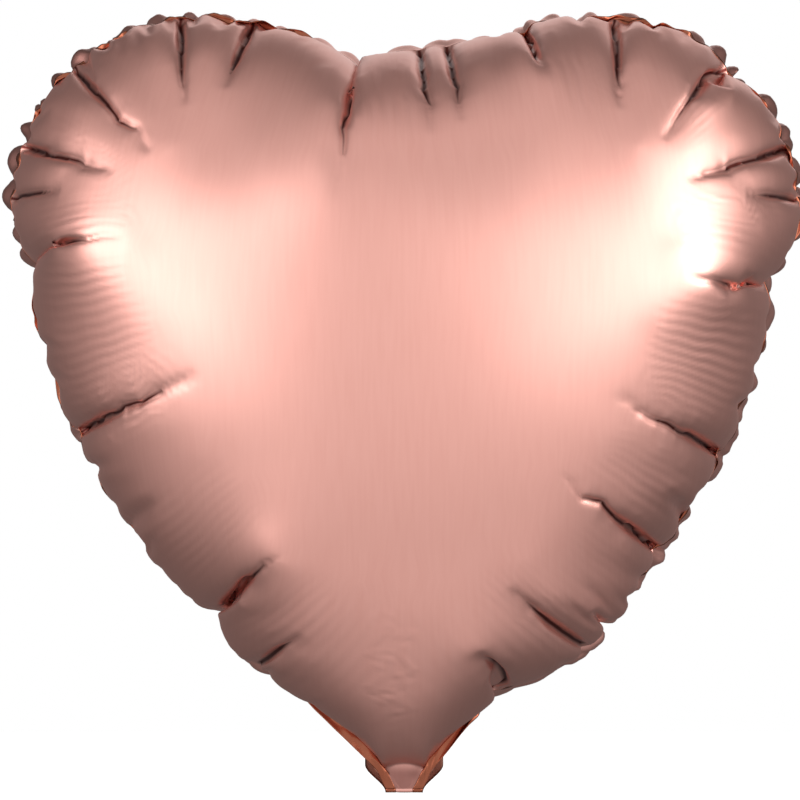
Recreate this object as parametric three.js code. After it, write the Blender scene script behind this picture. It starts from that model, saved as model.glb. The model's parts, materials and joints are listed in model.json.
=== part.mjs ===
// A heart-shaped foil balloon, inflated, with its tail folded up behind it.
//
// Frame: millimetres, +Z up. The origin is the middle of the fold line at the throat, where the
// balloon's tail leaves its body. The front of the heart faces -Y.
//
// The film of a real foil balloon is a few hundredths of a millimetre thick. Here every sheet has
// the stand-in thickness FILM, and sheets that are welded together keep the distance GAP.

import * as THREE from 'three';
import { mergeVertices } from 'three/addons/utils/BufferGeometryUtils.js';

// ---- driving dimensions (mm) ----
const FILM = 0.6;
const GAP = 0.3;
const SEAL_WIDTH = 5;

// The inflated heart, measured on the seam where the two panels meet.
const SEAM_HALF_WIDTH = 185;
const DEPTH = 222;
const LOBE_RADIUS = 90;
const SIDE_RADIUS = 240;
const CLEFT_RADIUS = 60;
const SIDE_SLOPE = Math.PI / 4;
const THROAT_HALF_WIDTH = 6;
const THROAT_LENGTH = 3;
const THROAT_FILLET = 8;
const THROAT_PINCH = 16;     // the height over which the body opens out above the throat

// The tail: it leaves the throat at TAIL_START, flares to its full width and ends open.
const TAIL_START = 4;
const TAIL_FLARE_END = 30;
const TAIL_LENGTH = 62;
const TAIL_HALF_WIDTH = 19;
const TAIL_FOLD_ANGLE = (116 * Math.PI) / 180;   // from hanging straight down, backwards

// The self-sealing valve: two thin films, sealed to each other along their sides. The upper part
// hangs free inside the body, and the lower part lies inside the tail.
const VALVE_FILM = 0.4;
const VALVE_START = 6;
const VALVE_FLARE_END = 20;
const VALVE_END = 62;
const VALVE_START_HALF_WIDTH = 4.5;
const VALVE_HALF_WIDTH = 12;
const VALVE_SEAL_WIDTH = 2.5;
const INLET_END = 58;
const WELD_HEIGHT = 2.5;

// ---- mesh density ----
const RIM_POINTS = 76;
const RINGS = 8;
const FLARE_STEPS = 6;
const RELAX_SWEEPS = 600;

// Half of the distance between the two panels' rims, with the seal's band between them.
const SEAL_GAP = FILM / 2 + GAP;

// ---- materials ----
const satinFoil = new THREE.MeshStandardMaterial({ color: 0xd09a8c, metalness: 1, roughness: 0.38 });
const brightFoil = new THREE.MeshStandardMaterial({ color: 0xb5644c, metalness: 1, roughness: 0.16 });
const clearFilm = new THREE.MeshStandardMaterial({ color: 0xe4e2dc, metalness: 0, roughness: 0.25 });

const balloon = new THREE.Group();

// ---- outlines ----

function arcPoints(x, z, radius, start, end, count) {
  const curve = new THREE.EllipseCurve(x, z, radius, radius, start, end, end < start);
  return curve.getPoints(count);
}

// The right half of the seam, from the throat over the side and the lobe to the cleft.
function rightSeam() {
  const turn = Math.PI / 2 - SIDE_SLOPE;
  const fillet = arcPoints(THROAT_HALF_WIDTH + THROAT_FILLET, THROAT_LENGTH, THROAT_FILLET,
    Math.PI, Math.PI - turn, 4);
  const sideStart = fillet[fillet.length - 1];
  const sideCentreX = SEAM_HALF_WIDTH - SIDE_RADIUS;
  const straight = (sideCentreX + SIDE_RADIUS * Math.cos(turn) - sideStart.x) / Math.cos(SIDE_SLOPE);
  const widestZ = sideStart.y + straight * Math.sin(SIDE_SLOPE) + SIDE_RADIUS * Math.sin(turn);
  const side = arcPoints(sideCentreX, widestZ, SIDE_RADIUS, -turn, 0, 24);
  const lobeX = SEAM_HALF_WIDTH - LOBE_RADIUS;
  const cleftZ = widestZ + Math.sqrt((LOBE_RADIUS + CLEFT_RADIUS) ** 2 - lobeX ** 2);
  const lobeEnd = Math.atan2(cleftZ - widestZ, -lobeX);
  const lobe = arcPoints(lobeX, widestZ, LOBE_RADIUS, 0, lobeEnd, 40);
  const cleftStart = Math.atan2(widestZ - cleftZ, lobeX);
  const cleft = arcPoints(0, cleftZ, CLEFT_RADIUS, cleftStart, -Math.PI / 2, 8);
  return [new THREE.Vector2(THROAT_HALF_WIDTH, 0), ...fillet, ...side, ...lobe.slice(1), ...cleft.slice(1)];
}

// The whole seam as evenly spaced points, open at the throat, anticlockwise seen from the front.
function seamPoints(count) {
  const right = rightSeam();
  const left = right.slice(0, -1).reverse().map((p) => new THREE.Vector2(-p.x, p.y));
  const all = [...right, ...left];
  const travelled = [0];
  for (let i = 1; i < all.length; i += 1) travelled.push(travelled[i - 1] + all[i].distanceTo(all[i - 1]));
  const total = travelled[all.length - 1];
  const points = [];
  let k = 1;
  for (let i = 0; i < count; i += 1) {
    const target = (total * i) / (count - 1);
    while (k < all.length - 1 && travelled[k] < target) k += 1;
    const share = (target - travelled[k - 1]) / (travelled[k] - travelled[k - 1]);
    points.push(all[k - 1].clone().lerp(all[k], share));
  }
  return points;
}

// Moves an open outline sideways; a positive distance goes outwards from the heart.
function offsetOutline(points, distance) {
  return points.map((p, i) => {
    const before = points[Math.max(i - 1, 0)];
    const after = points[Math.min(i + 1, points.length - 1)];
    const along = after.clone().sub(before).normalize();
    return new THREE.Vector2(p.x + along.y * distance, p.y - along.x * distance);
  });
}

// ---- the domed panels ----

// Rings of points between the seam and the heart's centre, in the X-Z plane, and their triangles.
function domeGrid(rim) {
  const centre = new THREE.Vector2(0, rim[0].y + 0.55 * (Math.max(...rim.map((p) => p.y)) - rim[0].y));
  const points = [];
  for (let ring = 0; ring < RINGS; ring += 1) {
    const share = Math.cos((ring / RINGS) * (Math.PI / 2)) ** 0.8;
    rim.forEach((p) => points.push(centre.clone().lerp(p, share)));
  }
  points.push(centre);
  const n = rim.length;
  const triangles = [];
  for (let ring = 0; ring < RINGS - 1; ring += 1) {
    for (let i = 0; i < n; i += 1) {
      const a = ring * n + i;
      const b = ring * n + ((i + 1) % n);
      triangles.push([a, b, b + n], [a, b + n, a + n]);
    }
  }
  const last = (RINGS - 1) * n;
  for (let i = 0; i < n; i += 1) triangles.push([last + i, last + ((i + 1) % n), points.length - 1]);
  return { points, triangles, rimCount: n };
}

// Height of a film that is held at the rim and pushed evenly from below, by relaxing the
// membrane equation on the grid. Its square root has the upright rim of an inflated pillow.
function domeHeights(grid) {
  const { points, triangles, rimCount } = grid;
  const links = points.map(() => new Map());
  const load = points.map(() => 0);
  const link = (a, b, weight) => links[a].set(b, (links[a].get(b) || 0) + weight);
  triangles.forEach((corners) => {
    const [p, q, r] = corners.map((i) => points[i]);
    const area = Math.abs((q.x - p.x) * (r.y - p.y) - (q.y - p.y) * (r.x - p.x)) / 2;
    corners.forEach((corner, k) => {
      const i = corners[(k + 1) % 3];
      const j = corners[(k + 2) % 3];
      const u = points[i].clone().sub(points[corner]);
      const v = points[j].clone().sub(points[corner]);
      const weight = u.dot(v) / (4 * area);
      link(i, j, weight);
      link(j, i, weight);
      load[corner] += area / 3;
    });
  });
  const height = points.map(() => 0);
  const overRelax = 1.7;
  for (let sweep = 0; sweep < RELAX_SWEEPS; sweep += 1) {
    for (let i = rimCount; i < points.length; i += 1) {
      let sum = load[i];
      let total = 0;
      links[i].forEach((weight, j) => {
        sum += weight * height[j];
        total += weight;
      });
      height[i] += overRelax * (sum / total - height[i]);
    }
  }
  const top = Math.max(...height);
  return height.map((h, i) => {
    const pinched = 1 - Math.exp(-Math.max(points[i].y, 0) / THROAT_PINCH);
    return (DEPTH / 2 - SEAL_GAP - FILM) * Math.sqrt(Math.max(h, 0) / top) * pinched;
  });
}

function vertexNormals(positions, triangles) {
  const geometry = new THREE.BufferGeometry();
  geometry.setAttribute('position', new THREE.Float32BufferAttribute(positions.flatMap((p) => p.toArray()), 3));
  geometry.setIndex(triangles.flat());
  geometry.computeVertexNormals();
  const normal = geometry.getAttribute('normal');
  return positions.map((_, i) => new THREE.Vector3().fromBufferAttribute(normal, i));
}

// A domed sheet of thickness FILM over the seam; side is -1 for the front and +1 for the back.
function panelGeometry(grid, heights, side) {
  const outer = grid.points.map((p, i) => new THREE.Vector3(p.x, side * (SEAL_GAP + FILM + heights[i]), p.y));
  const triangles = side < 0 ? grid.triangles : grid.triangles.map(([a, b, c]) => [a, c, b]);
  const normals = vertexNormals(outer, triangles);
  const inner = outer.map((p, i) => {
    const q = p.clone().addScaledVector(normals[i], -FILM);
    if (i < grid.rimCount) q.set(p.x, side * SEAL_GAP, p.z).addScaledVector(flatInward(normals[i]), FILM);
    q.y = side * Math.max(side * q.y, SEAL_GAP);
    return q;
  });
  const n = outer.length;
  const faces = [...triangles];
  triangles.forEach(([a, b, c]) => faces.push([a + n, c + n, b + n]));
  for (let i = 0; i < grid.rimCount; i += 1) {
    const j = (i + 1) % grid.rimCount;
    const quad = [[i, i + n, j + n], [i, j + n, j]];
    faces.push(...(side < 0 ? quad : quad.map(([a, b, c]) => [a, c, b])));
  }
  return solid([...outer, ...inner], faces);
}

function flatInward(normal) {
  return new THREE.Vector3(-normal.x, 0, -normal.z).normalize();
}

function solid(vertices, faces) {
  const geometry = new THREE.BufferGeometry();
  geometry.setAttribute('position', new THREE.Float32BufferAttribute(vertices.flatMap((p) => p.toArray()), 3));
  geometry.setIndex(faces.flat());
  geometry.computeVertexNormals();
  return geometry;
}

// ---- flat pieces ----

// A flat sheet cut to an outline in the X-Z plane, centred on y.
function sheetGeometry(outline, y, thickness = FILM) {
  const shape = new THREE.Shape(outline);
  const geometry = new THREE.ExtrudeGeometry(shape, { depth: thickness, bevelEnabled: false });
  geometry.translate(0, 0, -thickness / 2);
  geometry.rotateX(Math.PI / 2);
  geometry.translate(0, y, 0);
  geometry.deleteAttribute('normal');
  geometry.deleteAttribute('uv');
  const merged = mergeVertices(geometry, 1e-4);
  merged.computeVertexNormals();
  return merged;
}

// A flat open band between two lines of points in the X-Z plane, centred on y = 0. The inner line
// lies to the left of the outer one, seen from the front along their direction.
function bandGeometry(inner, outer, thickness) {
  const corners = [];
  inner.forEach((p, i) => {
    const q = outer[i];
    corners.push(new THREE.Vector3(p.x, -thickness / 2, p.y), new THREE.Vector3(q.x, -thickness / 2, q.y),
      new THREE.Vector3(q.x, thickness / 2, q.y), new THREE.Vector3(p.x, thickness / 2, p.y));
  });
  const faces = [[0, 2, 1], [0, 3, 2]];
  for (let i = 0; i < inner.length - 1; i += 1) {
    for (let k = 0; k < 4; k += 1) {
      const a = 4 * i + k;
      const b = 4 * i + ((k + 1) % 4);
      faces.push([a, b + 4, a + 4], [a, b, b + 4]);
    }
  }
  const end = 4 * (inner.length - 1);
  faces.push([end, end + 1, end + 2], [end, end + 2, end + 3]);
  return solid(corners, faces);
}

// Half the width of a strip that flares smoothly between two distances and then keeps its width.
function flare(startWidth, endWidth, start, end) {
  return (distance) => THREE.MathUtils.lerp(startWidth, endWidth, THREE.MathUtils.smoothstep(distance, start, end));
}

// Distances along a flared strip where its outline needs a point.
function flareStations(start, flareEnd, end) {
  const stations = [];
  for (let i = 0; i <= FLARE_STEPS; i += 1) stations.push(start + ((flareEnd - start) * i) / FLARE_STEPS);
  return [...stations, end];
}

// The outline between a left and a right edge, each a function of the distance. Direction is +1
// for a strip that runs up and -1 for one that runs down.
function stripOutline(leftEdge, rightEdge, stations, direction) {
  const right = stations.map((d) => new THREE.Vector2(rightEdge(d), direction * d));
  const left = stations.map((d) => new THREE.Vector2(leftEdge(d), direction * d)).reverse();
  return [...right, ...left];
}

function add(name, geometry, material, parent = balloon) {
  const mesh = new THREE.Mesh(geometry, material);
  mesh.name = name;
  parent.add(mesh);
  return mesh;
}

// The two films and the two side seals of a flat tube of film, such as the tail or the valve.
function addFlatTube(tube, names, materials, parent) {
  const { width, stations, direction, sealWidth, sealThickness, film } = tube;
  const left = (d) => -width(d);
  const filmOutline = stripOutline(left, width, stations, direction);
  const filmY = sealThickness / 2 + GAP + film / 2;
  add(names.front, sheetGeometry(filmOutline, -filmY, film), materials.film, parent);
  add(names.back, sheetGeometry(filmOutline, filmY, film), materials.film, parent);
  const innerRight = (d) => width(d) - sealWidth;
  const innerLeft = (d) => sealWidth - width(d);
  const rightSeal = stripOutline(innerRight, width, stations, direction);
  const leftSeal = stripOutline(left, innerLeft, stations, direction);
  add(names.sealRight, sheetGeometry(rightSeal, 0, sealThickness), materials.seal, parent);
  add(names.sealLeft, sheetGeometry(leftSeal, 0, sealThickness), materials.seal, parent);
}

// ---- body: two panels and the welded band round them ----

const seam = seamPoints(RIM_POINTS);
const grid = domeGrid(seam);
const heights = domeHeights(grid);
add('front_panel', panelGeometry(grid, heights, -1), satinFoil);
add('back_panel', panelGeometry(grid, heights, 1), satinFoil);

add('edge_seal', bandGeometry(offsetOutline(seam, -FILM), offsetOutline(seam, SEAL_WIDTH), FILM), brightFoil);

// ---- tail: two films welded at their sides, with the ends of the valve's films between them ----

const tail = new THREE.Group();
tail.rotation.x = TAIL_FOLD_ANGLE;
balloon.add(tail);

const inletThickness = 2 * VALVE_FILM + GAP;
const tailWidth = flare(THROAT_HALF_WIDTH + SEAL_WIDTH, TAIL_HALF_WIDTH, TAIL_START, TAIL_FLARE_END);
addFlatTube({
  width: tailWidth,
  stations: flareStations(TAIL_START, TAIL_FLARE_END, TAIL_LENGTH),
  direction: -1,
  sealWidth: SEAL_WIDTH,
  sealThickness: inletThickness,
  film: FILM,
}, {
  front: 'tail_front_film',
  back: 'tail_back_film',
  sealLeft: 'tail_seal_left',
  sealRight: 'tail_seal_right',
}, { film: satinFoil, seal: brightFoil }, tail);

const inletWidth = (d) => tailWidth(d) - SEAL_WIDTH - GAP;
const inletOutline = stripOutline((d) => -inletWidth(d), inletWidth,
  flareStations(TAIL_START + GAP, TAIL_FLARE_END, INLET_END), -1);
const inletY = (GAP + VALVE_FILM) / 2;
add('inlet_front_film', sheetGeometry(inletOutline, -inletY, VALVE_FILM), clearFilm, tail);
add('inlet_back_film', sheetGeometry(inletOutline, inletY, VALVE_FILM), clearFilm, tail);

// ---- valve: the free part of its films, inside the body above the throat ----

const valveWidth = flare(VALVE_START_HALF_WIDTH, VALVE_HALF_WIDTH, VALVE_START, VALVE_FLARE_END);
addFlatTube({
  width: valveWidth,
  stations: flareStations(VALVE_START, VALVE_FLARE_END, VALVE_END),
  direction: 1,
  sealWidth: VALVE_SEAL_WIDTH,
  sealThickness: VALVE_FILM,
  film: VALVE_FILM,
}, {
  front: 'valve_front_film',
  back: 'valve_back_film',
  sealLeft: 'valve_seal_left',
  sealRight: 'valve_seal_right',
}, { film: clearFilm, seal: clearFilm }, balloon);

// The welds that hold the valve's films to the panels, across the throat.
const valveOuterY = VALVE_FILM * 1.5 + GAP;
const weldOutline = stripOutline(() => -VALVE_START_HALF_WIDTH, () => VALVE_START_HALF_WIDTH,
  [VALVE_START - WELD_HEIGHT, VALVE_START - GAP], 1);
add('throat_weld_front', sheetGeometry(weldOutline, -valveOuterY / 2 - GAP / 4, valveOuterY / 2), clearFilm);
add('throat_weld_back', sheetGeometry(weldOutline, valveOuterY / 2 + GAP / 4, valveOuterY / 2), clearFilm);

export default balloon;
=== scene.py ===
"""The looks of a heart-shaped foil balloon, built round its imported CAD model.

The balloon is made here the way the real one is. Two flat heart-shaped sheets of film, which can't
stretch, are welded together along their edge and blown up in a small cloth simulation. Film that
can't stretch has too much length along its edge once it is round, so it folds there into creases.
The result is then settled by smooth moves, and the sharp creases, the fine ripples and the back
sheet's bulges are pressed into it. Everything is in millimetres until a mesh is made, with x and z
in the sheets' plane and the front facing -y.
"""

import json
import math

import bpy
import numpy as np
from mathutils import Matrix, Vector, kdtree
from mathutils.geometry import delaunay_2d_cdt

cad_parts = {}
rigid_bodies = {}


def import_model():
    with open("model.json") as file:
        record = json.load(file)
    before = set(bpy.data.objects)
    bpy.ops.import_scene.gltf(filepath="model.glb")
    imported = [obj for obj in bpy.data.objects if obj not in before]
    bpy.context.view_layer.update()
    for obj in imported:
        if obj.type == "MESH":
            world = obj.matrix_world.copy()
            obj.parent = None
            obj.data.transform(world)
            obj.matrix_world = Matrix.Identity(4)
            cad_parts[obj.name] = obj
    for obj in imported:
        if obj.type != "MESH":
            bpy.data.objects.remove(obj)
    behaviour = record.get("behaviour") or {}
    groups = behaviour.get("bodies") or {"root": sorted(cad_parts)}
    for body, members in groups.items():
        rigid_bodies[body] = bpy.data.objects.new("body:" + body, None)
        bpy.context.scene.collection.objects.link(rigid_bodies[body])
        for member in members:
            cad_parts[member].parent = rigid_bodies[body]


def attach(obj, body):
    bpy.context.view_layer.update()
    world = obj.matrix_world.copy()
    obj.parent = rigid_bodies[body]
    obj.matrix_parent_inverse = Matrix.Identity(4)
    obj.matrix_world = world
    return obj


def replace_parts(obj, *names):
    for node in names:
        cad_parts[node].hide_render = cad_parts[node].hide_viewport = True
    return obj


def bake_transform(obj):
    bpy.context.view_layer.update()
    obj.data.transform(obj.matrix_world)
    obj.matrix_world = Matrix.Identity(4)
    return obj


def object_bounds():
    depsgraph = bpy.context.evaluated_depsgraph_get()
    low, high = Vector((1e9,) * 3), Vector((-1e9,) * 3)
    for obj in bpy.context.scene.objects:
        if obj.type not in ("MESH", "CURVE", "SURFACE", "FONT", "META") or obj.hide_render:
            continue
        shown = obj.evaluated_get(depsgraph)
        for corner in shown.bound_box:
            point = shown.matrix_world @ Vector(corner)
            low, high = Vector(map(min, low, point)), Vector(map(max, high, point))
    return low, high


for startup in list(bpy.data.objects):
    bpy.data.objects.remove(startup)
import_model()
cad_low, cad_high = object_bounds()
MM = 1000.0

# ---- the flat pattern (mm), from the CAD model's box ----
CAD_WIDTH = MM * (cad_high.x - cad_low.x)
DRAW_IN = 1.235                       # flat width over inflated width
HALF_WIDTH = DRAW_IN * CAD_WIDTH / 2
LOBE_RADIUS = 0.585 * HALF_WIDTH
SIDE_RADIUS = 1.3 * HALF_WIDTH
CLEFT_RADIUS = 6.0 * HALF_WIDTH
SIDE_SLOPE = 0.45                     # of the seam beside the throat, in radians above level
THROAT_HALF_WIDTH = 4.0
THROAT_FILLET = 6.0
THROAT_LENGTH = 4.0
WELD_WIDTH = 5.0
FLAT_SIZE = 500.0                     # the square of flat film that the texture coordinates cover

FRONT, BACK, WELD = 0, 1, 2           # the parts of the film

# ---- the creases: share of the way round the seam from the throat's right side, and length (mm) ----
FRONT_CREASES = [
    (0.050, 67), (0.073, 90), (0.138, 117), (0.187, 114), (0.254, 102), (0.297, 64),
    (0.320, 97), (0.367, 94), (0.414, 87), (0.448, 67), (0.480, 97), (0.494, 102),
    (0.522, 134), (0.568, 74), (0.598, 84), (0.646, 100), (0.680, 90), (0.700, 62),
    (0.731, 104), (0.811, 122), (0.900, 102), (0.943, 67),
]
CREASE_SHARES = [0.0, *(share for share, _ in FRONT_CREASES), 1.0]
LEAST_GAP = 0.026                     # between front creases, for a back crease to fall between them
BACK_CREASES = [
    ((a + b) / 2, 75 + 40 * math.sin(7.0 * k) ** 2)
    for k, (a, b) in enumerate(zip(CREASE_SHARES, CREASE_SHARES[1:])) if b - a > LEAST_GAP
]
CREASE_DEPTH = 4.2
CREASE_WIDTHS = {FRONT: 1.3, BACK: 2.6}
FULL_LENGTH = 80                      # a shorter crease is less deep
FADE_RATE = 3.2                       # a crease fades over the last 1 / FADE_RATE of its length
VALLEY_WIDTH = 9.0                    # of the shallow dip that each crease runs in
VALLEY_SHARE = 0.15                   # of a crease's depth

# ---- the fine ripples in front of the weld: from, to (share of the seam), height (mm) ----
RIPPLE_LENGTH = 6.4
FAINT_RIPPLE = 0.04                   # height everywhere else
RIPPLE_STOP = 0.008                   # share of the seam over which a stretch begins and ends
RIPPLES_FROM, RIPPLES_IN = 20, 30     # inwards from the seam: where they start, and over how far
RIPPLES_TO, RIPPLES_OUT = 118, 40     # and where and over how far they end
RIPPLES = [
    (0.06, 0.13, 0.16), (0.14, 0.18, 0.2), (0.185, 0.245, 0.26), (0.25, 0.30, 0.14),
    (0.33, 0.36, 0.1), (0.48, 0.53, 0.2), (0.60, 0.64, 0.1), (0.66, 0.70, 0.14),
    (0.705, 0.735, 0.18), (0.74, 0.82, 0.28), (0.84, 0.89, 0.16), (0.905, 0.95, 0.12),
]

# ---- the back sheet's bulges, which stand out past the front: share of the seam, height (mm) ----
BULGE_LENGTH = 19.0
BULGE_RISE, BULGE_FALL = (0, 12), (22, 60)  # inwards from the seam
# inwards from the seam, where the painted shade at the bulges' foot fades out
BULGE_SHADE_FALL = (14, 36)
DARK_BULGE = 12.0                     # height of a bulge whose foot by the seam gets the full painted shade of a crease's inside
BULGES = [
    (0.0, 0.0), (0.05, 1.5), (0.10, 3.0), (0.16, 4.5), (0.26, 5.0), (0.32, 7.0),
    (0.36, 7.5), (0.42, 5.0), (0.50, 3.0), (0.56, 4.0), (0.61, 6.5), (0.65, 7.5),
    (0.71, 7.0), (0.75, 2.5), (0.92, 1.0), (1.0, 0.0),
]

# ---- how the film settles after the simulation (mm); a pair is where a move starts and ends ----
NECK_HALF_WIDTH, NECK_TOP = 6.0, 70.0
LOWER_SIDES = {"height": 47, "below": 26, "above": 36, "growth": 0.30}
UPPER_SIDES = {"height": 250, "below": 40, "above": 40, "growth": 0.028}
SEAM_GROWTH = 0.3                     # share of the lower sides' growth that the seam takes part in
CLEFT_RISE = 11.5
CLEFT_MIDDLE = 8.0                    # x
CLEFT_SIDES, CLEFT_HEIGHTS = (45, 95), (220, 340)
THROAT_OPENING = 1.1                  # how far each sheet stands off the valve at the throat's top
OPENING_SLOPE = 0.3                   # and how much further for each mm above it
OPENING_MOST = 5.0
OPENING_FALL = (14, 30)               # heights above the throat
THROAT_SHADE = 0.65                       # how much painted shade the film at the throat gets, like a crease's inside
# heights above the throat over which the painted shade at the throat fades out
THROAT_SHADE_FALL = (3, 16)
EVENED_FROM, EVENED_OVER = 55, 30     # the middle of each sheet is evened out, from here inwards
EVENED_SHARE, EVENED_ROUNDS = 0.6, 24

# ---- the simulation ----
RIM_EDGE = 14.0                       # length of a coarse triangle's side by the seam
MIDDLE_EDGE = 28.0                    # and in the middle of the heart
RIM_BAND = 110.0                      # width of the band of small triangles
GRID_GAP = 0.6 * RIM_EDGE             # that the grid's points keep to the seam's and the creases'
CREASE_GAP = 0.55 * RIM_EDGE          # that a crease's points keep to all before them
LINED_SHARE = 0.9                     # of a crease's length that has edges along it
DAMPING = 0.9                         # share of the speed that is left after a step
SQUEEZE_FROM, SQUEEZE_OVER = 20, 50   # inwards from the seam, where film starts to give way to squeezing
SQUEEZE_LOSS = 0.9                    # and how far it gives way
LIFT = 0.035                          # upward push on every point, as a share of the pressure
CALM_HEIGHT = 20.0                    # the gas pushes less below this height over the throat
CALM_LEAST = 0.1
FOLD_SPACING = 60                     # of the small folds that the seam starts with
START_FOLD, START_SWELL = 6, 12       # how far the seam and the sheets start from the middle plane
SWELL_REACH = 30                      # how far inwards the sheets are that far apart
LEVELS = [
    {"steps": 300, "pressure": 0.15, "rounds": 8, "stiffness": 0.02},
    {"steps": 200, "pressure": 0.05, "rounds": 10, "stiffness": 0.006},
    {"steps": 150, "pressure": 0.02, "rounds": 12, "stiffness": 0.002},
]

# ---- the tail and the valve (mm) ----
FOLD_HEIGHT = 2.0                     # where the balloon's film ends and the tail's begins
THROAT_TOP = FOLD_HEIGHT + THROAT_LENGTH
THROAT_OUTER = THROAT_HALF_WIDTH + WELD_WIDTH
FOLD_LEAD = 0.4                       # of straight film before the fold's bend
FOLD_RADIUS = 1.4
FOLD_STEPS = 9
FOLD_TAKES = 3.0                      # of the tail's length
TAIL_ANGLE = math.radians(116)        # from straight down, round behind, at rest
TAIL_LENGTH = 62.0
TAIL_HALF_WIDTH = 19.0
TAIL_CRUMPLE = 0.18
INLET_SHARE = 0.75                    # of the tail film's width, as it is this far further on:
INLET_AHEAD = 6.0
INLET_STEPS_SHORT = 3                 # of the tail's end
WELD_THICKNESS = 0.2
VALVE_LOW, VALVE_HIGH = 6.0, 62.0
VALVE_NARROW, VALVE_WIDE = 2.6, 12.0  # half widths
VALVE_WELD = 1.2                      # width of the weld along each side
NECK_WELD_LOW, NECK_WELD_HIGH = 3.5, 5.7
NECK_WELD_HALF_WIDTH = 2.4
NECK_WELD_BOW = 0.08
THIN_WELD = 0.1                       # thickness of the valve's welds


# ---------------------------------------------------------------- the flat pattern

def arc(centre, radius, start, stop, count):
    angles = np.linspace(start, stop, count)
    return np.stack([centre[0] + radius * np.cos(angles), centre[1] + radius * np.sin(angles)], axis=1)


def heart_outline():
    """The seam of the flat heart as points (x, z), anticlockwise from the throat's right side."""
    turn = math.pi / 2 - SIDE_SLOPE
    fillet = arc((THROAT_HALF_WIDTH + THROAT_FILLET, 0), THROAT_FILLET, math.pi, math.pi - turn, 6)
    tangent_x = HALF_WIDTH - SIDE_RADIUS * (1 - math.cos(turn))
    rise = (tangent_x - fillet[-1][0]) * math.tan(SIDE_SLOPE)
    widest_z = fillet[-1][1] + rise + SIDE_RADIUS * math.sin(turn)
    side = arc((HALF_WIDTH - SIDE_RADIUS, widest_z), SIDE_RADIUS, -turn, 0, 40)
    lobe_x = HALF_WIDTH - LOBE_RADIUS
    cleft_z = widest_z + math.sqrt((LOBE_RADIUS + CLEFT_RADIUS) ** 2 - lobe_x**2)
    lobe = arc((lobe_x, widest_z), LOBE_RADIUS, 0, math.atan2(cleft_z - widest_z, -lobe_x), 60)
    cleft = arc((0, cleft_z), CLEFT_RADIUS, math.atan2(widest_z - cleft_z, lobe_x), -math.pi / 2, 16)
    right = np.vstack([[THROAT_HALF_WIDTH, -THROAT_LENGTH], fillet, side, lobe[1:], cleft[1:]])
    return np.vstack([right, right[::-1][1:] * [-1, 1]])


def resample(line, count):
    """The line as count + 1 evenly spaced points, and its length."""
    travelled = np.concatenate([[0], np.cumsum(np.linalg.norm(np.diff(line, axis=0), axis=1))])
    at = np.linspace(0, travelled[-1], count + 1)
    return np.stack([np.interp(at, travelled, line[:, k]) for k in range(2)], axis=1), travelled[-1]


def inward_normals(line):
    along = np.gradient(line, axis=0)
    along /= np.linalg.norm(along, axis=1)[:, None]
    return np.stack([-along[:, 1], along[:, 0]], axis=1)


OUTLINE = heart_outline()
SEAM_LENGTH = resample(OUTLINE, 10)[1]
FINE_SEAM = resample(OUTLINE, int(SEAM_LENGTH / 0.5))[0]
FINE_NORMALS = inward_normals(FINE_SEAM)
RIM = resample(OUTLINE, round(SEAM_LENGTH / RIM_EDGE))[0]
RIM_NORMALS = inward_normals(RIM)


def seam_coordinates(points):
    """For each flat point: its distance inwards from the seam, and how far round the seam it is."""
    tree = kdtree.KDTree(len(FINE_SEAM))
    for i, (x, z) in enumerate(FINE_SEAM.tolist()):
        tree.insert((x, z, 0), i)
    tree.balance()
    found = [tree.find((x, z, 0)) for x, z in points.tolist()]
    nearest = np.array([f[1] for f in found])
    distance = np.array([f[2] for f in found])
    inside = ((points - FINE_SEAM[nearest]) * FINE_NORMALS[nearest]).sum(1) > 0
    below = points[:, 1] + THROAT_LENGTH
    near_throat = np.abs(points[:, 0]) < 3 * THROAT_HALF_WIDTH
    inwards = np.where(near_throat, np.minimum(distance, np.maximum(below, 0)), distance)
    return np.where(inside, inwards, -distance), nearest * SEAM_LENGTH / (len(FINE_SEAM) - 1)


class Film:
    """The balloon's film as triangles: flat and inflated places of the points, and what they are."""

    def __init__(self, flat, faces, part, pinned, seam, edge):
        self.flat, self.faces, self.part = flat, faces, part
        self.pinned, self.seam, self.edge = pinned, seam, edge
        self.inwards, self.round = None, None


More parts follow.
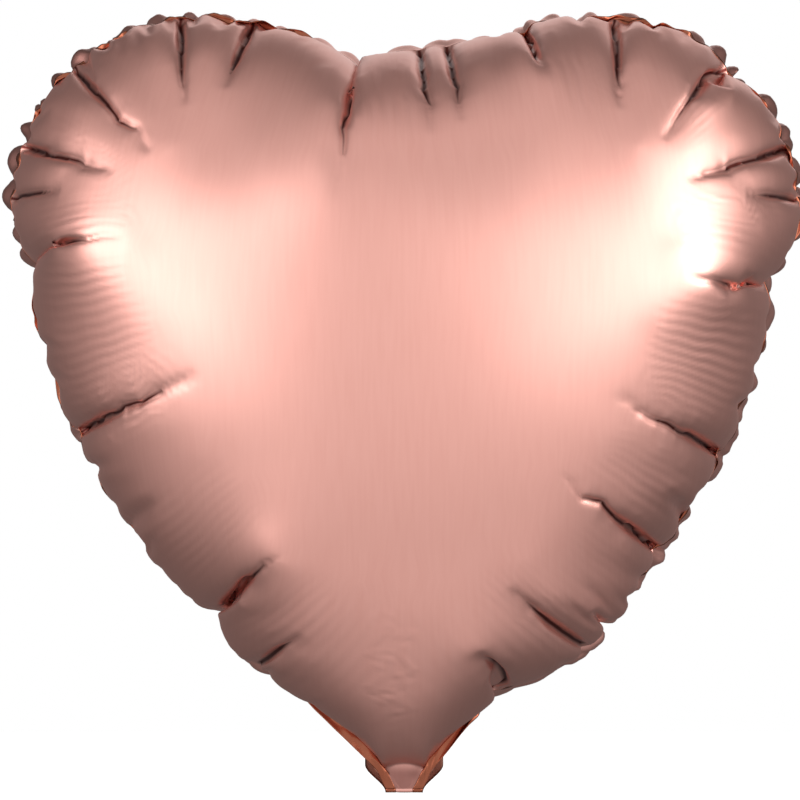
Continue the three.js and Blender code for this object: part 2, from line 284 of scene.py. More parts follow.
def lay_out_film():
    """Cuts both sheets and the weld band from the pattern, with edges along the front creases."""
    seam, count = RIM, len(RIM)
    throat = np.array([[0.0, -THROAT_LENGTH]])
    loop = np.vstack([seam, throat])
    points = list(loop)
    border = [(i, (i + 1) % len(loop)) for i in range(len(loop))]
    for share, length in FRONT_CREASES:
        last = round(share * (count - 1))
        start, inwards = RIM[last], RIM_NORMALS[last]
        for step in range(1, int(LINED_SHARE * length / RIM_EDGE) + 1):
            point = start + inwards * RIM_EDGE * step
            if np.linalg.norm(np.array(points) - point, axis=1).min() < CREASE_GAP:
                break
            border.append((last, len(points)))
            last = len(points)
            points.append(point)
    lined = np.array(points)
    grids = []
    for edge, near, far in ((RIM_EDGE, 0, RIM_BAND), (MIDDLE_EDGE, RIM_BAND, math.inf)):
        rows = np.arange(OUTLINE[:, 1].min(), OUTLINE[:, 1].max(), edge * math.sqrt(3) / 2)
        reach = int(HALF_WIDTH / edge) + 1
        columns = range(-reach, reach + 1)
        grid = np.array([((i + j % 2 / 2) * edge, z) for j, z in enumerate(rows) for i in columns])
        inwards = seam_coordinates(grid)[0]
        grid = grid[(inwards > max(near, 0.7 * edge)) & (inwards <= far)]
        clear = np.linalg.norm(grid[:, None] - lined[None], axis=2).min(axis=1) > GRID_GAP
        grids.append(grid[clear])
    wanted = np.vstack([lined, *grids])
    cut = delaunay_2d_cdt([Vector(p) for p in wanted], border, [], 1, 1e-5)
    sheet = np.array([tuple(p) for p in cut[0]])
    faces = np.array(cut[2])
    a, b, c = (sheet[faces[:, k]] for k in range(3))
    turn = (b[:, 0] - a[:, 0]) * (c[:, 1] - a[:, 1]) - (b[:, 1] - a[:, 1]) * (c[:, 0] - a[:, 0])
    faces[turn < 0] = faces[turn < 0][:, ::-1]
    back_index = np.arange(len(sheet))
    back_index[count:] += len(sheet) - count
    first_outer = 2 * len(sheet) - count
    outer = seam - WELD_WIDTH * inward_normals(seam)
    outer[[0, -1]] = [[THROAT_OUTER, -THROAT_LENGTH], [-THROAT_OUTER, -THROAT_LENGTH]]
    i = np.arange(count - 1)
    weld = np.vstack([
        np.stack([i, first_outer + i, i + 1], 1),
        np.stack([i + 1, first_outer + i, first_outer + i + 1], 1),
    ])
    flat = np.vstack([sheet, sheet[count:], outer])
    all_faces = np.vstack([faces, back_index[faces][:, ::-1], weld])
    part = np.repeat([FRONT, BACK, WELD], [len(faces), len(faces), len(weld)])
    pinned = np.abs(flat[:, 1] + THROAT_LENGTH) < 1e-4
    on_seam = np.arange(len(flat)) < count
    film = Film(flat, all_faces, part, pinned, on_seam, RIM_EDGE)
    film.inwards, film.round = seam_coordinates(flat)
    return film


def subdivide(film, places):
    """Splits every triangle in four."""
    faces, count = film.faces, len(film.faces)
    sides = np.sort(np.concatenate([faces[:, [0, 1]], faces[:, [1, 2]], faces[:, [2, 0]]]), axis=1)
    edges, edge_of = np.unique(sides, axis=0, return_inverse=True)
    edge_of = edge_of.reshape(-1)
    ab, bc, ca = (len(film.flat) + edge_of[k * count:(k + 1) * count] for k in range(3))
    corners = [(faces[:, 0], ab, ca), (faces[:, 1], bc, ab), (faces[:, 2], ca, bc), (ab, bc, ca)]
    touches = np.zeros((len(edges), 3), bool)
    for k in range(3):
        touches[edge_of[k * count:(k + 1) * count], film.part] = True

    def halved(values):
        return np.concatenate([values, (values[edges[:, 0]] + values[edges[:, 1]]) / 2])

    finer = Film(
        halved(film.flat),
        np.vstack([np.stack(c, axis=1) for c in corners]),
        np.tile(film.part, 4),
        np.concatenate([film.pinned, film.pinned[edges].all(axis=1)]),
        np.concatenate([film.seam, touches[:, FRONT] & touches[:, WELD]]),
        film.edge / 2,
    )
    finer.inwards, finer.round = halved(film.inwards), halved(film.round)
    return finer, halved(places)


# ---------------------------------------------------------------- the simulation

def colour_groups(pairs, count):
    """Splits the pairs into groups in which no point comes twice."""
    used = [0] * count
    colours = np.zeros(len(pairs), int)
    for i, (a, b) in enumerate(pairs.tolist()):
        taken = used[a] | used[b]
        colour = 0
        while taken >> colour & 1:
            colour += 1
        colours[i] = colour
        used[a] |= 1 << colour
        used[b] |= 1 << colour
    return [np.nonzero(colours == c)[0] for c in range(colours.max() + 1)]


def edges_and_wings(film):
    """Every edge, and the pairs of corners that face each other across an edge inside one part."""
    faces, count = film.faces, len(film.flat)
    sides = np.sort(np.concatenate([faces[:, [0, 1]], faces[:, [1, 2]], faces[:, [2, 0]]]), axis=1)
    facing = np.concatenate([faces[:, 2], faces[:, 0], faces[:, 1]])
    part = np.tile(film.part, 3)
    key = sides[:, 0].astype(np.int64) * count + sides[:, 1]
    edges = sides[np.unique(key, return_index=True)[1]]
    order = np.lexsort((part, key))
    key, part, facing = key[order], part[order], facing[order]
    same = (key[1:] == key[:-1]) & (part[1:] == part[:-1])
    return edges, np.stack([facing[:-1][same], facing[1:][same]], axis=1)


def crease_frames(creases, flat):
    """For each crease: how far along and across it each flat point lies, and its length."""
    for share, length in creases:
        i = round(share * (len(RIM) - 1))
        offset = flat - RIM[i]
        yield offset @ RIM_NORMALS[i], offset @ np.array([-RIM_NORMALS[i][1], RIM_NORMALS[i][0]]), length


def crease_relief(film):
    """How far the gas pressure is held off at each point: 1 is fully, along the creases."""
    relief = np.zeros(len(film.flat))
    width = max(1.2 * film.edge, 3.0)
    for part, creases in ((FRONT, FRONT_CREASES), (BACK, BACK_CREASES)):
        mine = np.zeros(len(film.flat), bool)
        mine[np.unique(film.faces[film.part == part])] = True
        for along, across, length in crease_frames(creases, film.flat):
            taper = np.clip((length - along) / (0.5 * length), 0, 1) * (along > -1)
            relief = np.maximum(relief, taper * np.exp(-(across / width) ** 2) * mine)
    return relief


def upright(places, pinned):
    """The film turned about the throat until its middle is straight above."""
    foot = places[pinned].mean(axis=0)
    lean = Vector((places.mean(axis=0) - foot).tolist())
    turn = np.array(lean.rotation_difference(Vector((0, 0, 1))).to_matrix())
    turned = foot + (places - foot) @ turn.T
    turned[pinned] = places[pinned]
    return turned


def inflate(film, places, steps, pressure, rounds, stiffness):
    """Blows the film up: pressure pushes it outwards, and its edges keep their flat length."""
    count = len(film.flat)
    edges, wings = edges_and_wings(film)
    length = np.linalg.norm(film.flat[edges[:, 0]] - film.flat[edges[:, 1]], axis=1)
    span = np.linalg.norm(film.flat[wings[:, 0]] - film.flat[wings[:, 1]], axis=1)
    depth = film.inwards[edges].mean(axis=1)
    squeeze = 1 - SQUEEZE_LOSS * np.clip((depth - SQUEEZE_FROM) / SQUEEZE_OVER, 0, 1)
    links = [(edges[g, 0], edges[g, 1], length[g], squeeze[g]) for g in colour_groups(edges, count)]
    bends = [(wings[g, 0], wings[g, 1], span[g]) for g in colour_groups(wings, count)]
    skin = film.faces[film.part != WELD]
    corners = skin.T.reshape(-1)
    full_area = math.sqrt(3) / 2 * film.edge**2
    calm = np.clip(film.flat[:, 1] / CALM_HEIGHT, CALM_LEAST, 1)
    push_scale = pressure * (calm * (1 - crease_relief(film)))[:, None] / full_area
    even = np.linalg.qr(np.column_stack([np.ones(count), film.flat]))[0]
    speed = np.zeros_like(places)
    free = (~film.pinned)[:, None]
    held = places[film.pinned]
    for _ in range(steps):
        a, b, c = (places[skin[:, k]] for k in range(3))
        outwards = np.cross(b - a, c - a) / 6
        push = np.stack([
            np.bincount(corners, weights=np.tile(outwards[:, k], 3), minlength=count) for k in range(3)
        ], axis=1)
        push *= push_scale
        push[:, 1] -= even @ (even.T @ push[:, 1])
        push[:, 2] += LIFT * pressure
        speed = (DAMPING * speed + push) * free
        moved = places + speed
        for _ in range(rounds):
            for i, j, rest, squash in links:
                gap = moved[j] - moved[i]
                now = np.sqrt((gap * gap).sum(1))
                excess = now - rest
                excess = np.where(excess < 0, excess * squash, excess)
                gap *= (0.5 * excess / np.maximum(now, 1e-9))[:, None]
                moved[i] += gap
                moved[j] -= gap
            moved[film.pinned] = held
        for i, j, rest in bends:
            gap = moved[j] - moved[i]
            now = np.sqrt((gap * gap).sum(1))
            gap *= (0.5 * stiffness * np.minimum(now - rest, 0) / np.maximum(now, 1e-9))[:, None]
            moved[i] += gap
            moved[j] -= gap
        moved[film.pinned] = held
        speed = moved - places
        places = upright(moved, film.pinned)
    return places


def zigzag(film):
    """Which way the seam starts to fold: forwards at the front creases, backwards between them."""
    shares = [0.0]
    values = [0.0]
    marks = [s for s, _ in FRONT_CREASES]
    for a, b in zip([0.0, *marks], [*marks, 1.0]):
        gap = (b - a) * SEAM_LENGTH
        bulges = max(1, round(gap / FOLD_SPACING))
        for k in range(bulges):
            shares.append(a + (b - a) * (k + 0.5) / bulges)
            values.append(1.0)
            if k < bulges - 1:
                shares.append(a + (b - a) * (k + 1) / bulges)
                values.append(-0.5)
        shares.append(b)
        values.append(-1.0 if b < 1 else 0.0)
    return np.interp(film.round / SEAM_LENGTH, shares, values)


def first_places(film):
    """The film laid flat, slightly open, with its seam in small folds."""
    places = np.stack([film.flat[:, 0], np.zeros(len(film.flat)), film.flat[:, 1]], axis=1)
    swell = START_SWELL * (1 - np.exp(-np.maximum(film.inwards, 0) / SWELL_REACH))
    for part, side in ((FRONT, -1), (BACK, 1)):
        mine = np.unique(film.faces[film.part == part])
        places[mine, 1] = side * swell[mine]
    places[film.seam, 1] = START_FOLD * zigzag(film)[film.seam]
    places[film.pinned, 1] = 0
    return places


def blow_up():
    film = lay_out_film()
    places = first_places(film)
    levels = LEVELS
    for k, level in enumerate(levels):
        if k:
            film, places = subdivide(film, places)
        places = inflate(film, places, **level)
    return film, places


# ---------------------------------------------------------------- the finished film

def eased(value, start, stop):
    """0 up to start, 1 from stop on, and smooth between."""
    t = np.clip((value - start) / (stop - start), 0, 1)
    return t * t * (3 - 2 * t)


def belt(z, height, below, above, growth):
    """A smooth band of growth around a height."""
    return growth * np.exp(-((z - height) / np.where(z < height, below, above)) ** 2)


def settled(film, places):
    """The film after a while: centred at the throat, full at its sides and shallow in the cleft."""
    x, y, z = places.T.copy()
    neck = (np.abs(x) < NECK_HALF_WIDTH) & (z < NECK_TOP) & (film.inwards > -1)
    middle = np.polyval(np.polyfit(z[neck], y[neck], 3), z)
    y -= middle * eased(z, -3, 3) * (1 - eased(z, NECK_TOP / 2, NECK_TOP))
    from_seam = SEAM_GROWTH + (1 - SEAM_GROWTH) * eased(film.inwards, 0, 14)
    x *= 1 + belt(z, **LOWER_SIDES) * from_seam * eased(z, 4, 16) + belt(z, **UPPER_SIDES)
    z += CLEFT_RISE * (1 - eased(np.abs(x - CLEFT_MIDDLE), *CLEFT_SIDES)) * eased(z, *CLEFT_HEIGHTS)
    return np.stack([x, y, z], axis=1)


def off_the_valve(places, flat, side):
    """One sheet's points, with those near the throat standing off the valve inside it."""
    x, y, z = places.T
    height = z - THROAT_TOP
    opening = np.clip(THROAT_OPENING + OPENING_SLOPE * height, 0, OPENING_MOST)
    opening *= (1 - eased(height, *OPENING_FALL)) * eased(seam_coordinates(flat)[0], 0, 2)
    return np.stack([x, side * np.maximum(side * y, opening), z], axis=1)


def bulge_height(around):
    """How high the back sheet's bulges are, at each place round the seam."""
    return np.interp(around / SEAM_LENGTH, *zip(*BULGES))


def back_bulges(inwards, around):
    """How far the back sheet's small bulges stand out, and which way, in the plane of the seam."""
    drift = 0.9 * np.sin(around / 41) + 0.5 * np.sin(around / 17)  # makes them uneven
    scallop = np.abs(np.sin(math.pi * around / BULGE_LENGTH + drift))
    profile = eased(inwards, *BULGE_RISE) * (1 - eased(inwards, *BULGE_FALL))
    at = np.arange(len(FINE_SEAM)) * SEAM_LENGTH / (len(FINE_SEAM) - 1)
    outwards = [-np.interp(around, at, FINE_NORMALS[:, k]) for k in range(2)]
    amount = bulge_height(around) * scallop**0.6 * profile
    return np.stack([amount * outwards[0], np.zeros(len(around)), amount * outwards[1]], axis=1)


def rounded(points, faces, fixed):
    """One step of Loop subdivision. The border keeps to itself, so neighbouring pieces stay joined."""
    count = len(faces)
    sides = np.sort(np.concatenate([faces[:, [0, 1]], faces[:, [1, 2]], faces[:, [2, 0]]]), axis=1)
    edges, edge_of, uses = np.unique(sides, axis=0, return_inverse=True, return_counts=True)
    edge_of = edge_of.reshape(-1)
    facing = points[np.concatenate([faces[:, 2], faces[:, 0], faces[:, 1]])]
    ends = points[edges]
    inner = (uses == 2)[:, None]
    opposite = np.zeros_like(ends[:, 0])
    np.add.at(opposite, edge_of, facing)
    middles = np.where(inner, 0.375 * ends.sum(axis=1) + 0.125 * opposite, ends.mean(axis=1))

    def around(pairs):
        total, valence = np.zeros_like(points), np.zeros(len(points))
        for i, j in ((0, 1), (1, 0)):
            np.add.at(total, pairs[:, i], points[pairs[:, j]])
            np.add.at(valence, pairs[:, i], 1)
        return total, valence[:, None]

    total, valence = around(edges)
    border_total, border_valence = around(edges[uses == 1])
    share = np.where(valence == 3, 3 / 16, 3 / (8 * np.maximum(valence, 3)))
    corners = (1 - valence * share) * points + share * total
    corners = np.where(border_valence == 2, 0.75 * points + 0.125 * border_total, corners)
    corners[fixed] = points[fixed]
    ab, bc, ca = (len(points) + edge_of[k * count:(k + 1) * count] for k in range(3))
    quads = [(faces[:, 0], ab, ca), (faces[:, 1], bc, ab), (faces[:, 2], ca, bc), (ab, bc, ca)]
    return np.vstack([corners, middles]), np.vstack([np.stack(q, axis=1) for q in quads])


def normals_of(places, faces):
    a, b, c = (places[faces[:, k]] for k in range(3))
    face_normals = np.cross(b - a, c - a)
    total = np.zeros_like(places)
    for k in range(3):
        np.add.at(total, faces[:, k], face_normals)
    return total / np.maximum(np.linalg.norm(total, axis=1), 1e-12)[:, None]


def evened(points, faces, strength, rounds):
    """The points moved towards the middle of their neighbours, by strength, several times."""
    sides = np.vstack([faces[:, [0, 1]], faces[:, [1, 2]], faces[:, [2, 0]]])
    start, stop = np.vstack([sides, sides[:, ::-1]]).T
    valence = np.bincount(start, minlength=len(points))[:, None]
    for _ in range(rounds):
        total = np.stack([
            np.bincount(start, weights=points[stop, k], minlength=len(points)) for k in range(3)
        ], axis=1)
        points = points + strength[:, None] * (total / valence - points)
    return points


def crease_depths(flat, creases, width):
    """At each flat point: the depth it is pressed in by, and how far inside a crease it is, 0 to 1,
    which sets its painted shade.
    """
    depth, inside = np.zeros(len(flat)), np.zeros(len(flat))
    for along, across, length in crease_frames(creases, flat):
        fade = np.clip((1 - along / length) * FADE_RATE, 0, 1) ** 0.9 * np.clip(1 + along / 3, 0, 1)
        full = CREASE_DEPTH * min(1.0, (length / FULL_LENGTH) ** 0.5) * fade
        sharp = np.exp(-np.abs(across) / width)
        valley = np.exp(-(across / VALLEY_WIDTH) ** 2)
        depth = np.maximum(depth, full * ((1 - VALLEY_SHARE) * sharp + VALLEY_SHARE * valley))
        # the crease's inside gets painted shade, darkest on its line and fading along it
        inside = np.maximum(inside, fade * sharp)
    return depth, inside


def ripple_heights(inwards, around):
    """The fine ripples that run inwards from the weld, in stretches along it."""
    share = around / SEAM_LENGTH
    window = np.clip((inwards - RIPPLES_FROM) / RIPPLES_IN, 0, 1)
    window *= np.clip((RIPPLES_TO - inwards) / RIPPLES_OUT, 0, 1)
    strength = np.full(len(share), FAINT_RIPPLE)
    for start, stop, height in RIPPLES:
        begun = np.clip((share - start) / RIPPLE_STOP, 0, 1)
        unended = np.clip((stop - share) / RIPPLE_STOP, 0, 1)
        strength = np.maximum(strength, height * begun * unended)
    # drift makes their spacing uneven, and beat their height
    drift = 1.1 * np.sin(around / 23) + 0.8 * np.sin(around / 9.7 + 1) + 0.5 * np.sin(inwards / 13)
    beat = 0.65 + 0.35 * np.sin(around / 17 + 2)
    return strength * beat * window * np.sin(2 * math.pi * around / RIPPLE_LENGTH + drift)


def finished(film, places, part, creases):
    """One finished part of the film: points, faces, flat places, and how much painted shade each gets,
    in a crease, at the throat and by the back sheet's bulges.
    """
    used, faces = np.unique(film.faces[film.part == part], return_inverse=True)
    faces = faces.reshape(-1, 3)
    columns = np.column_stack([places, film.flat, film.inwards, film.round])[used]
    if creases:
        columns[:, :3] = off_the_valve(columns[:, :3], columns[:, 3:5], -1 if part == FRONT else 1)
    columns, faces = rounded(columns, faces, film.pinned[used])
    smooth, flat, inwards, around = columns[:, :3], columns[:, 3:5], columns[:, 5], columns[:, 6]
    inside = np.zeros(len(smooth))
    if creases:
        strength = EVENED_SHARE * np.clip((inwards - EVENED_FROM) / EVENED_OVER, 0, 1)
        smooth = evened(smooth, faces, strength, EVENED_ROUNDS)
        # the crease depths, and the painted shade inside the creases
        depth, inside = crease_depths(flat, creases, CREASE_WIDTHS[part])
        height = smooth[:, 2] - THROAT_TOP
        # painted shade on the film at the throat, fading out above it
        inside = np.maximum(inside, THROAT_SHADE * (1 - eased(height, *THROAT_SHADE_FALL)))
        if part == BACK:
            smooth = smooth + back_bulges(inwards, around)
            # painted shade at the foot of the back sheet's bulges, by the seam, as strong as the bulges
            # are high
            shade = bulge_height(around) / DARK_BULGE * (1 - eased(inwards, *BULGE_SHADE_FALL))
            inside = np.maximum(inside, shade)
        pressed = (depth - ripple_heights(inwards, around)) * np.clip(inwards / 4, 0, 1)
        smooth = smooth - normals_of(smooth, faces) * pressed[:, None]
    return smooth, faces, flat, inside


# ---------------------------------------------------------------- materials

def material(name, colour, roughness, metallic=1.0):
    made = bpy.data.materials.new(name)
    made.use_nodes = True
    shader = made.node_tree.nodes["Principled BSDF"]
    shader.inputs["Base Color"].default_value = (*colour, 1)
    shader.inputs["Roughness"].default_value = roughness
    shader.inputs["Metallic"].default_value = metallic
    return made, made.node_tree, shader


def link(tree, source, target):
    tree.links.new(source, target)


def grain(tree, scale, stretch, detail):
    """Noise over the flat film, drawn out along the direction it was rolled in."""
    nodes = tree.nodes
    place = nodes.new("ShaderNodeTexCoord")
    mapping = nodes.new("ShaderNodeMapping")
    mapping.inputs["Scale"].default_value = (1, 1 / stretch, 1)
    noise = nodes.new("ShaderNodeTexNoise")
    noise.inputs["Scale"].default_value = scale
    noise.inputs["Detail"].default_value = detail
    link(tree, place.outputs["UV"], mapping.inputs["Vector"])
    link(tree, mapping.outputs["Vector"], noise.inputs["Vector"])
    return noise.outputs["Fac"]


def spread(tree, value, low, high, to_low, to_high):
    """A node that turns low to high into to_low to to_high."""
    node = tree.nodes.new("ShaderNodeMapRange")
    for name, number in (("From Min", low), ("From Max", high), ("To Min", to_low), ("To Max", to_high)):
        node.inputs[name].default_value = number
    link(tree, value, node.inputs["Value"])
    return node.outputs["Result"]


def tinted(tree, value, low, high, dark, light):
    """A node that turns low to high into a colour between dark and light."""
    ramp = tree.nodes.new("ShaderNodeValToRGB")
    for element, position, colour in zip(ramp.color_ramp.elements, (low, high), (dark, light)):
        element.position = position
        element.color = (*colour, 1)
    link(tree, value, ramp.inputs["Fac"])
    return ramp.outputs["Color"]


def bumpy(tree, shader, height, strength, distance):
    bump = tree.nodes.new("ShaderNodeBump")
    bump.inputs["Strength"].default_value = strength
    bump.inputs["Distance"].default_value = distance
    link(tree, height, bump.inputs["Height"])
    link(tree, bump.outputs["Normal"], shader.inputs["Normal"])


def satin_foil():
    """Satin film with a fine grain, and painted shade where the attribute "crease" says so: in the
    creases, at the throat and by the back sheet's bulges.
    """
    made, tree, shader = material("satin_foil", (0.79, 0.41, 0.355), 0.4)
    fine = grain(tree, scale=260, stretch=14, detail=3)
    broad = grain(tree, scale=7, stretch=2, detail=2)
    open_foil = tinted(tree, fine, 0.3, 0.7, (0.78, 0.40, 0.345), (0.80, 0.42, 0.365))
    # painted shade: a dark copper mixed into the colour by the attribute "crease"
    inside = tree.nodes.new("ShaderNodeAttribute")
    inside.attribute_name = "crease"
    shade = tree.nodes.new("ShaderNodeMix")
    shade.data_type = "RGBA"
    shade.inputs["B"].default_value = (0.10, 0.022, 0.018, 1)
    link(tree, spread(tree, inside.outputs["Fac"], 0.35, 0.8, 0, 1), shade.inputs["Factor"])
    link(tree, open_foil, shade.inputs["A"])
    link(tree, shade.outputs["Result"], shader.inputs["Base Color"])
    link(tree, spread(tree, broad, 0.3, 0.7, 0.38, 0.43), shader.inputs["Roughness"])
    bumpy(tree, shader, fine, strength=0.05, distance=0.0001)
    return made


def welded_foil():
    made, tree, shader = material("welded_foil", (0.30, 0.095, 0.055), 0.24)
    uneven = grain(tree, scale=40, stretch=3, detail=3)
    colour = tinted(tree, uneven, 0.3, 0.7, (0.25, 0.075, 0.042), (0.36, 0.12, 0.07))
    link(tree, colour, shader.inputs["Base Color"])
    link(tree, spread(tree, uneven, 0.3, 0.7, 0.2, 0.3), shader.inputs["Roughness"])
    bumpy(tree, shader, uneven, strength=0.35, distance=0.0006)
    return made


def valve_film():
    made, tree, shader = material("valve_film", (0.88, 0.87, 0.84), 0.18, 0.0)
    cloudy = grain(tree, scale=30, stretch=2, detail=2)
    colour = tinted(tree, cloudy, 0.3, 0.7, (0.80, 0.79, 0.76), (0.92, 0.91, 0.88))
    link(tree, colour, shader.inputs["Base Color"])
    shader.inputs["Alpha"].default_value = 0.6
    return made


MATERIALS = {"satin_foil": satin_foil(), "welded_foil": welded_foil(), "valve_film": valve_film()}


def piece(name, slot, points, faces, flat, inside=None, thickness=0.0):
    """A mesh object from points in millimetres, with its flat places as texture coordinates."""
    mesh = bpy.data.meshes.new(name)
    mesh.from_pydata((np.asarray(points) / MM).tolist(), [], np.asarray(faces).tolist())
    mesh.polygons.foreach_set("use_smooth", [True] * len(mesh.polygons))
    corners = np.zeros(len(mesh.loops), int)
    mesh.loops.foreach_get("vertex_index", corners)
    layer = mesh.uv_layers.new(name="flat")
    layer.data.foreach_set("uv", (np.asarray(flat)[corners] / FLAT_SIZE + 0.5).reshape(-1))
    # the amount of painted shade, kept as the attribute "crease"
    if inside is not None:
        mesh.attributes.new("crease", "FLOAT", "POINT").data.foreach_set("value", inside)
    mesh.materials.append(MATERIALS[slot])
    made = bpy.data.objects.new(name, mesh)
    bpy.context.scene.collection.objects.link(made)
    if thickness:
        solid = made.modifiers.new("thickness", "SOLIDIFY")
        solid.thickness = thickness / MM
        solid.offset = 0
    return made


# ---------------------------------------------------------------- the tail and the valve

def tail_path():
    """Points (y, z) along the tail's middle: down, round the fold, and up behind the heart."""
    centre = np.array([FOLD_RADIUS, FOLD_HEIGHT - FOLD_LEAD])
    angles = np.linspace(0, TAIL_ANGLE, FOLD_STEPS)
    bend = centre + FOLD_RADIUS * np.stack([-np.cos(angles), -np.sin(angles)], axis=1)
    onwards = np.array([math.sin(TAIL_ANGLE), -math.cos(TAIL_ANGLE)])
    run = np.linspace(0, TAIL_LENGTH - FOLD_TAKES, 31)[1:, None]
    return np.vstack([[0, FOLD_HEIGHT], bend, bend[-1] + run * onwards])


def straight_down(start, stop, steps):
    """Points (y, z) in the middle plane, from one height down to another."""
    return np.stack([np.zeros(steps), np.linspace(start, stop, steps)], axis=1)


def steady(amount):
    """The same amount all along a path."""
    return lambda s: np.full_like(s, amount)


def strip(name, slot, path, inner, outer, bow, across, thickness=0.0, crumple=0.0):
    """A strip of film along a path (y, z), from x = inner to outer, bowed out and crumpled.

    Inner, outer and bow are functions of the way travelled along the path.
    """
    steps = np.diff(path, axis=0)
    along = np.gradient(path, axis=0)
    along /= np.linalg.norm(along, axis=1)[:, None]
    sideways = np.stack([along[:, 1], -along[:, 0]], axis=1)
    travelled = np.concatenate([[0], np.cumsum(np.linalg.norm(steps, axis=1))])
    t = np.linspace(0, 1, across)
    x = inner(travelled)[:, None] * (1 - t) + outer(travelled)[:, None] * t
    lift = bow(travelled)[:, None] * (1 - (2 * t - 1) ** 4)
    s = travelled[:, None]
    wrinkle = np.sin(0.55 * s + 1.3 * x / 4) + 0.7 * np.sin(0.9 * x - 0.31 * s)
    lift = lift + crumple * wrinkle * eased(s, 4, 14) * (1 - (2 * t - 1) ** 2)
    y = path[:, 0:1] + sideways[:, 0:1] * lift
    z = path[:, 1:2] + sideways[:, 1:2] * lift
    points = np.stack([x, y, z], axis=2).reshape(-1, 3)
    flat = np.stack([x, np.broadcast_to(s, x.shape)], axis=2).reshape(-1, 2)
    i, j = np.meshgrid(np.arange(len(path) - 1), np.arange(across - 1), indexing="ij")
    a = (i * across + j).reshape(-1)
    quads = np.stack([a, a + 1, a + across + 1, a + across], axis=1)
    return piece(name, slot, points, quads, flat, thickness=thickness)


def across_fold(made, node):
    """Bakes the place of a piece of the tail into its points, and hides the node that it replaces."""
    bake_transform(made)
    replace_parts(made, node)


def make_tail():
    """Two strips of film from the fold on, welded along their sides, with an inlet strip on each."""
    path = tail_path()
    inlet_path = path[FOLD_STEPS:-INLET_STEPS_SHORT]

    def half(s):
        return THROAT_OUTER + (TAIL_HALF_WIDTH - THROAT_OUTER) * eased(s, 3, 30)

    def film(s):
        return half(s) - WELD_WIDTH

    def inlet_half(s):
        return INLET_SHARE * film(s + INLET_AHEAD)

    def film_bow(s):
        return 0.12 + 1.1 * eased(s, 5, 18)

    def inlet_bow(s):
        return 0.06 + 0.3 * eased(s, 2, 14)

    for name, side in (("front", 1), ("back", -1)):
        made = strip(
            f"tail_{name}", "satin_foil", path, lambda s: -film(s), film,
            lambda s, side=side: side * film_bow(s), across=21, crumple=side * TAIL_CRUMPLE,
        )
        across_fold(made, f"tail_{name}_film")
        inlet = strip(
            f"inlet_{name}", "valve_film", inlet_path, lambda s: -inlet_half(s), inlet_half,
            lambda s, side=side: side * inlet_bow(s), across=13,
        )
        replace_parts(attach(inlet, "tail"), f"inlet_{name}_film")
    for name, side in (("left", -1), ("right", 1)):
        made = strip(
            f"tail_weld_{name}", "welded_foil", path, lambda s, side=side: side * film(s),
            lambda s, side=side: side * half(s), steady(0.0), across=5, thickness=WELD_THICKNESS,
        )
        across_fold(made, f"tail_seal_{name}")


def make_valve():
    """Two strips inside the neck, joined along their sides, each welded to its sheet at the foot."""
    path = straight_down(VALVE_HIGH, VALVE_LOW, 29)
    foot = straight_down(NECK_WELD_HIGH, NECK_WELD_LOW, 4)

    def height(s):
        return VALVE_HIGH - VALVE_LOW - s

    def half(s):
        return VALVE_NARROW + (VALVE_WIDE - VALVE_NARROW) * eased(height(s), 2, 18)

    def film(s):
        return half(s) - VALVE_WELD

    def bow(s):
        return 0.1 + 0.4 * eased(height(s), 2, 20)

    for name, side in (("front", 1), ("back", -1)):
        made = strip(
            f"valve_{name}", "valve_film", path, lambda s: -film(s), film,
            lambda s, side=side: side * bow(s), across=13,
        )
        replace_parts(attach(made, f"valve_{name}"), f"valve_{name}_film")
        weld = strip(
            f"neck_weld_{name}", "valve_film", foot, steady(-NECK_WELD_HALF_WIDTH),
            steady(NECK_WELD_HALF_WIDTH), steady(side * NECK_WELD_BOW), across=9, thickness=THIN_WELD,
        )
        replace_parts(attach(weld, "balloon"), f"throat_weld_{name}")
    for name, side in (("left", -1), ("right", 1)):
        made = strip(
            f"valve_edge_{name}", "valve_film", path, lambda s, side=side: side * film(s),
            lambda s, side=side: side * half(s), steady(0.0), across=4, thickness=THIN_WELD,
        )
        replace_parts(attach(made, "valve_front"), f"valve_seal_{name}")


def make_balloon():
    """The two sheets, blown up, and the weld round them."""
    film, places = blow_up()
    places = settled(film, places) + [0, 0, THROAT_TOP]
    for name, part, creases, slot, node, thickness in (
        ("front_film", FRONT, FRONT_CREASES, "satin_foil", "front_panel", 0.0),
        ("back_film", BACK, BACK_CREASES, "satin_foil", "back_panel", 0.0),
        ("edge_weld", WELD, None, "welded_foil", "edge_seal", WELD_THICKNESS),
    ):
        made = piece(name, slot, *finished(film, places, part, creases), thickness)
        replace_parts(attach(made, "balloon"), node)


make_balloon()
make_tail()
make_valve()


# ---------------------------------------------------------------- the stage, lights and camera (m)

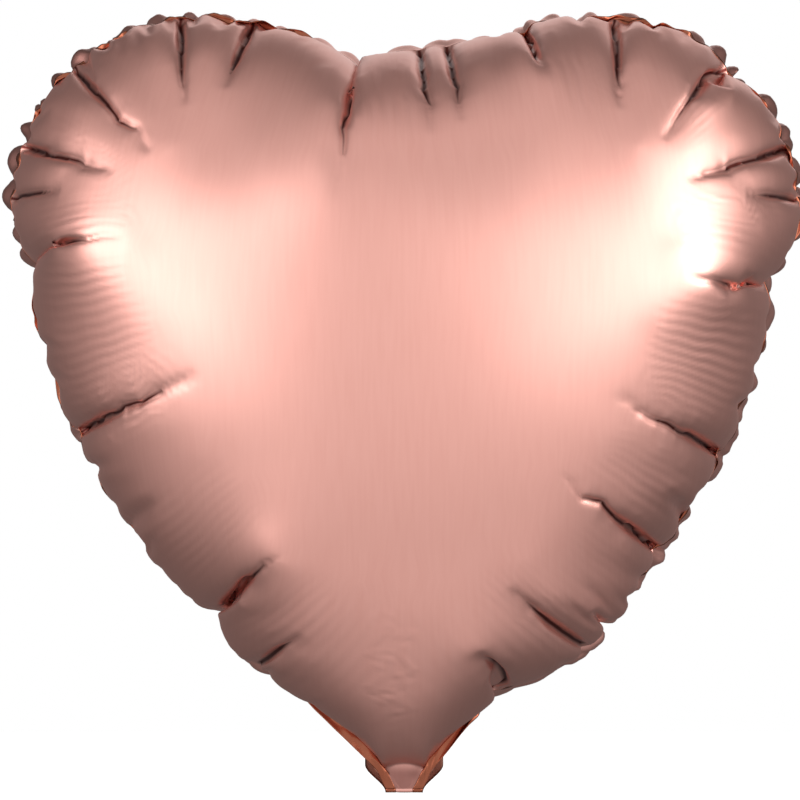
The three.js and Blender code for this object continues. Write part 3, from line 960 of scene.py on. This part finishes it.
WARM_WHITE = (1, 0.985, 0.96)
SOFT_WHITE = (1, 0.985, 0.97)
LOW_WHITE = (1, 0.97, 0.95)
RIGHT_LOBE, LEFT_LOBE, MIDDLE = (0.05, 0, 0.2), (-0.05, 0, 0.2), (0, 0, 0.2)
LIGHTS = [  # name, place, target, size, power, colour
    ("key", (0.95, -0.42, 0.5), RIGHT_LOBE, (0.5, 0.7), 5, WARM_WHITE),
    ("key_wide", (0.85, -0.95, 0.35), RIGHT_LOBE, (0.9, 0.9), 4.4, WARM_WHITE),
    ("fill", (-1.0, -0.55, 0.45), LEFT_LOBE, (0.8, 1.1), 4.2, SOFT_WHITE),
    ("fill_wide", (-0.95, -0.85, 0.35), LEFT_LOBE, (1.0, 1.1), 3.8, SOFT_WHITE),
    ("top", (0, -0.25, 1.45), MIDDLE, (1.4, 0.9), 1.5, SOFT_WHITE),
    ("low", (0, -0.3, -0.42), (0, -0.25, 0.15), (1.2, 0.42), 0.38, LOW_WHITE),
    ("rear", (0.2, 1.3, 0.95), MIDDLE, (1.2, 0.9), 3.0, SOFT_WHITE),
]
STUDIO_STRENGTH = 1.2
SIDE_DIMMING = 0.4                    # how much a direction's steepness counts, next to its depth
STUDIO_LEVELS = [  # from the camera's side to the far side: place, brightness
    (0.0, 0.88), (0.05, 0.84), (0.1, 0.79), (0.18, 0.73), (0.28, 0.67),
    (0.4, 0.58), (0.52, 0.45), (0.66, 0.27), (0.8, 0.14), (1.0, 0.12),
]
FLOOR_HALF_WIDTH, FLOOR_HEIGHT = 8.0, -0.45
CAMERA_LENS = 250
CAMERA_X, CAMERA_Z = -0.002, 0.1886
FRAME_WIDTH = 0.384                   # of the picture, at the heart


def area_light(name, place, target, size, power, colour):
    data = bpy.data.lights.new(name, "AREA")
    data.shape = "RECTANGLE"
    data.size, data.size_y = size
    data.energy = power
    data.color = colour
    made = bpy.data.objects.new(name, data)
    made.location = place
    made.rotation_euler = (Vector(target) - Vector(place)).to_track_quat("-Z", "Y").to_euler()
    made.visible_camera = False
    bpy.context.scene.collection.objects.link(made)


def make_floor():
    mesh = bpy.data.meshes.new("floor")
    signs = ((-1, -1), (1, -1), (1, 1), (-1, 1))
    corners = [(a * FLOOR_HALF_WIDTH, b * FLOOR_HALF_WIDTH, FLOOR_HEIGHT) for a, b in signs]
    mesh.from_pydata(corners, [], [(0, 1, 2, 3)])
    floor = bpy.data.objects.new("floor", mesh)
    bpy.context.scene.collection.objects.link(floor)
    made, _, shader = material("pale_floor", (0.9, 0.9, 0.9), 0.8, 0.0)
    shader.inputs["Emission Color"].default_value = (1, 1, 1, 1)
    shader.inputs["Emission Strength"].default_value = 0.8
    mesh.materials.append(made)
    floor.visible_glossy = False


def make_world():
    """White to the camera, and a soft dim studio in the foil's reflections."""
    world = bpy.data.worlds.new("studio")
    bpy.context.scene.world = world
    world.use_nodes = True
    tree = world.node_tree
    tree.nodes.clear()
    output = tree.nodes.new("ShaderNodeOutputWorld")
    mix = tree.nodes.new("ShaderNodeMixShader")
    rays = tree.nodes.new("ShaderNodeLightPath")
    white = tree.nodes.new("ShaderNodeBackground")
    white.inputs["Color"].default_value = (1, 1, 1, 1)
    studio = tree.nodes.new("ShaderNodeBackground")
    studio.inputs["Strength"].default_value = STUDIO_STRENGTH
    place = tree.nodes.new("ShaderNodeTexCoord")
    split = tree.nodes.new("ShaderNodeSeparateXYZ")
    link(tree, place.outputs["Generated"], split.inputs["Vector"])
    tall = tree.nodes.new("ShaderNodeMath")
    tall.operation = "ABSOLUTE"
    link(tree, split.outputs["Z"], tall.inputs[0])
    turned = tree.nodes.new("ShaderNodeMath")
    turned.operation = "MULTIPLY_ADD"
    turned.inputs[1].default_value = SIDE_DIMMING
    link(tree, tall.outputs[0], turned.inputs[0])
    link(tree, split.outputs["Y"], turned.inputs[2])
    behind = spread(tree, turned.outputs[0], -1, 1, 0, 1)
    ramp = tree.nodes.new("ShaderNodeValToRGB")
    while len(ramp.color_ramp.elements) < len(STUDIO_LEVELS):
        ramp.color_ramp.elements.new(0.5)
    for element, (position, level) in zip(ramp.color_ramp.elements, STUDIO_LEVELS):
        element.position = position
        element.color = (level, 0.985 * level, 0.97 * level, 1)
    link(tree, behind, ramp.inputs["Fac"])
    link(tree, ramp.outputs["Color"], studio.inputs["Color"])
    link(tree, rays.outputs["Is Camera Ray"], mix.inputs["Fac"])
    link(tree, studio.outputs["Background"], mix.inputs[1])
    link(tree, white.outputs["Background"], mix.inputs[2])
    link(tree, mix.outputs["Shader"], output.inputs["Surface"])


def make_camera():
    data = bpy.data.cameras.new("camera")
    data.lens = CAMERA_LENS
    camera = bpy.data.objects.new("camera", data)
    distance = FRAME_WIDTH * data.lens / data.sensor_width
    camera.location = (CAMERA_X, -distance, CAMERA_Z)
    camera.rotation_euler = (math.pi / 2, 0, 0)
    bpy.context.scene.collection.objects.link(camera)
    bpy.context.scene.camera = camera


bpy.context.scene.view_settings.view_transform = "Standard"
make_floor()
make_world()
for light in LIGHTS:
    area_light(*light)
make_camera()

bpy.context.view_layer.update()
